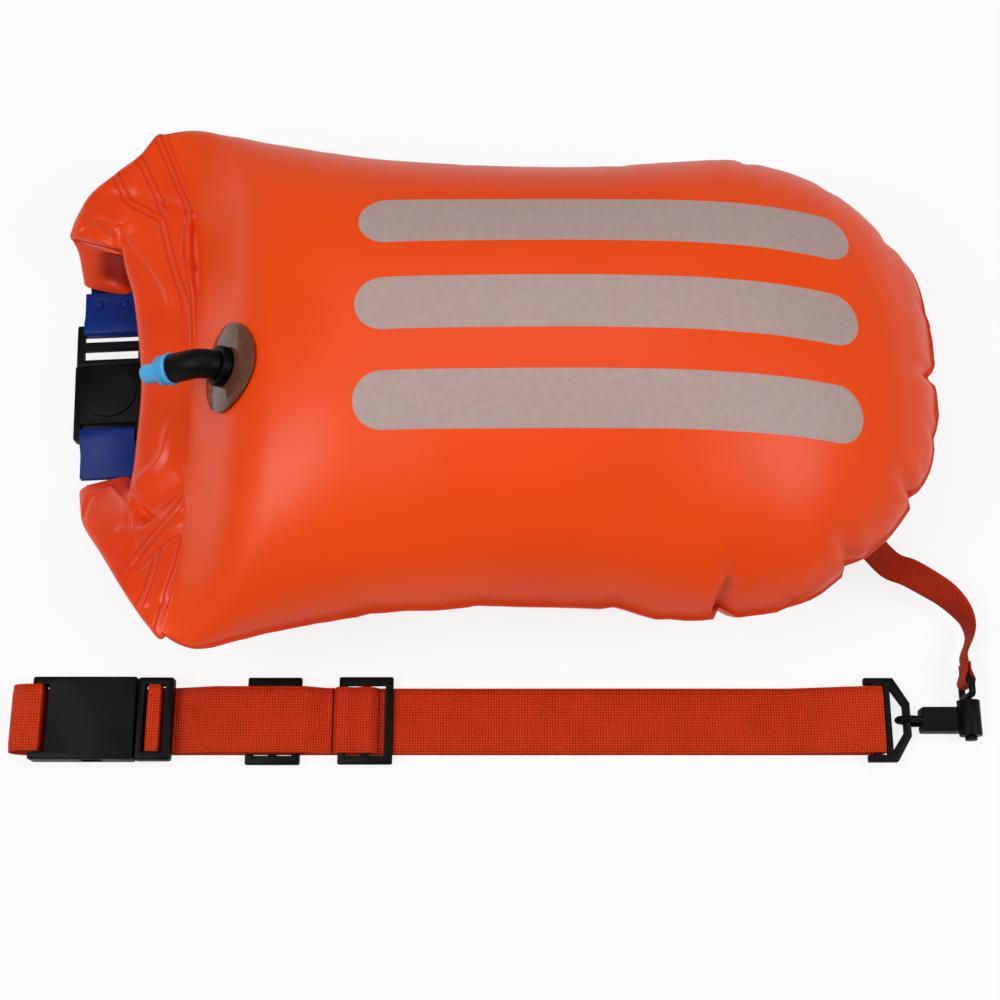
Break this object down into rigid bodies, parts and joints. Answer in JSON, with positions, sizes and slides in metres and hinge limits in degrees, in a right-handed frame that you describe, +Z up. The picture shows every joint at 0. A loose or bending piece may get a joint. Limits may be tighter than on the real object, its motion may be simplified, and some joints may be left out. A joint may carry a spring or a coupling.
{
  "type": "open water swim buoy",
  "caption": "Inflatable roll-top swim buoy with oral valve, buckled rolled mouth, and an adjustable waist belt clipped on by a tether with a snap hook.",
  "frame": {"origin": "middle of the flat rest face under the belly, on the surface that the buoy lies on", "axes": "+X along the buoy's long axis from the rolled mouth to the rounded end, +Y across the flat buoy away from the belt, +Z up, from the belly to the face with the oral valve"},
  "size_m": [0.5496, 0.3605, 0.165],
  "materials": {
    "bag_orange": "coated fabric, glossy film over a fine weave",
    "belt_orange": "woven webbing, semi-matt",
    "black_plastic": "moulded, fine grain, semi-gloss",
    "closure_blue": "flat strip, semi-matt",
    "mouthpiece_blue": "moulded, satin",
    "smoked_vinyl": "smoky clear film, glossy",
    "spring_steel": "stainless, satin"
  },
  "bodies": {
    "buoy": {"upper_skin": "bag_orange", "lower_skin": "bag_orange", "upper_liner": "bag_orange", "lower_liner": "bag_orange", "rolled_mouth": "bag_orange", "closure_strip": "closure_blue", "roll_plug": "black_plastic", "plug_tab": "closure_blue", "tab_rivet_inner": "closure_blue", "tab_rivet_outer": "closure_blue", "socket_tab": "closure_blue", "valve_disc": "smoked_vinyl", "valve_base": "black_plastic", "anchor_patch": "bag_orange", "anchor_lug": "belt_orange", "tether": "belt_orange", "belt_webbing": "belt_orange", "belt_plug": "black_plastic", "belt_ring": "black_plastic"},
    "roll_socket_body": {"roll_socket": "black_plastic"},
    "roll_prong_far_body": {"roll_prong_far": "black_plastic"},
    "roll_prong_near_body": {"roll_prong_near": "black_plastic"},
    "belt_socket_body": {"belt_socket": "black_plastic", "belt_socket_loop": "belt_orange"},
    "belt_prong_far_body": {"belt_prong_far": "black_plastic"},
    "belt_prong_near_body": {"belt_prong_near": "black_plastic"},
    "upper_glide_body": {"upper_glide": "black_plastic", "upper_glide_webbing": "belt_orange"},
    "lower_glide_body": {"lower_glide": "black_plastic", "lower_glide_webbing": "belt_orange"},
    "snap_hook": {"hook_body": "black_plastic"},
    "hook_gate_body": {"hook_gate": "black_plastic"},
    "hook_swivel": {"swivel_eye": "black_plastic", "tether_eye_loop": "belt_orange"},
    "anchor_dee": {"dee_ring": "black_plastic", "tether_dee_loop": "belt_orange"},
    "elbow": {"valve_elbow": "black_plastic", "valve_spring": "spring_steel"},
    "collar": {"lock_collar": "mouthpiece_blue"},
    "tip": {"mouthpiece": "mouthpiece_blue", "check_poppet": "spring_steel"}
  },
  "joints": [
    {"name": "roll_release", "type": "slide", "parent": "buoy", "child": "roll_socket_body", "axis": [0.047, -0.9989, 0], "range_m": [0, 0.0195], "deforming": ["socket_tab"]},
    {"name": "roll_squeeze_far", "type": "hinge", "parent": "buoy", "child": "roll_prong_far_body", "pos_m": [-0.24923, 0.03624, 0.02424], "axis": [0, 0, 1], "range_deg": [0, 18]},
    {"name": "roll_squeeze_near", "type": "hinge", "parent": "buoy", "child": "roll_prong_near_body", "pos_m": [-0.21606, 0.03778, 0.02424], "axis": [0, 0, -1], "range_deg": [0, 18]},
    {"name": "belt_release", "type": "slide", "parent": "buoy", "child": "belt_socket_body", "axis": [-1, 0, 0], "range_m": [0, 0.029]},
    {"name": "belt_squeeze_far", "type": "hinge", "parent": "buoy", "child": "belt_prong_far_body", "pos_m": [-0.206, -0.1529, 0.00985], "axis": [0, 0, 1], "range_deg": [0, 14]},
    {"name": "belt_squeeze_near", "type": "hinge", "parent": "buoy", "child": "belt_prong_near_body", "pos_m": [-0.206, -0.1921, 0.00985], "axis": [0, 0, -1], "range_deg": [0, 14]},
    {"name": "upper_glide_travel", "type": "slide", "parent": "buoy", "child": "upper_glide_body", "axis": [1, 0, 0], "range_m": [0, 0.06]},
    {"name": "lower_glide_travel", "type": "slide", "parent": "buoy", "child": "lower_glide_body", "axis": [1, 0, 0], "range_m": [-0.015, 0]},
    {"name": "hook_swing", "type": "hinge", "parent": "buoy", "child": "snap_hook", "pos_m": [0.2312, -0.1725, 0.0072], "axis": [0, -1, 0], "range_deg": [0, 35]},
    {"name": "gate_press", "type": "hinge", "parent": "snap_hook", "child": "hook_gate_body", "pos_m": [0.2437, -0.1725, 0.0015], "axis": [0, 1, 0], "range_deg": [0, 10], "stiffness_Nm_per_rad": 0.02, "springref_deg": -5.73},
    {"name": "eye_turn", "type": "hinge", "parent": "snap_hook", "child": "hook_swivel", "pos_m": [0.2655, -0.1725, 0.0126], "axis": [0, 1, 0], "continuous": true},
    {"name": "dee_turn", "type": "hinge", "parent": "buoy", "child": "anchor_dee", "pos_m": [0.18312, -0.05417, 0.02499], "axis": [-0.6119, -0.7839, -0.105], "range_deg": [-5, 8]},
    {"name": "elbow_turn", "type": "hinge", "parent": "buoy", "child": "elbow", "pos_m": [-0.14368, -0.0073, 0.12911], "axis": [-0.8138, -0.019, 0.5808], "continuous": true},
    {"name": "collar_turn", "type": "hinge", "parent": "elbow", "child": "collar", "pos_m": [-0.17255, -0.00775, 0.12954], "axis": [-0.895, -0.009, -0.446], "range_deg": [0, 90]},
    {"name": "tip_travel", "type": "slide", "parent": "elbow", "child": "tip", "axis": [-0.895, -0.009, -0.446], "range_m": [-0.003, 0], "stiffness_N_per_m": 200, "springref_m": 0.001, "deforming": ["valve_spring"]}
  ],
  "couplings": [
    {"joint": "roll_squeeze_far", "follows": "roll_release", "rad_per_m": 16.11},
    {"joint": "roll_squeeze_near", "follows": "roll_release", "rad_per_m": 16.11},
    {"joint": "belt_squeeze_far", "follows": "belt_release", "rad_per_m": 8.42},
    {"joint": "belt_squeeze_near", "follows": "belt_release", "rad_per_m": 8.42}
  ]
}
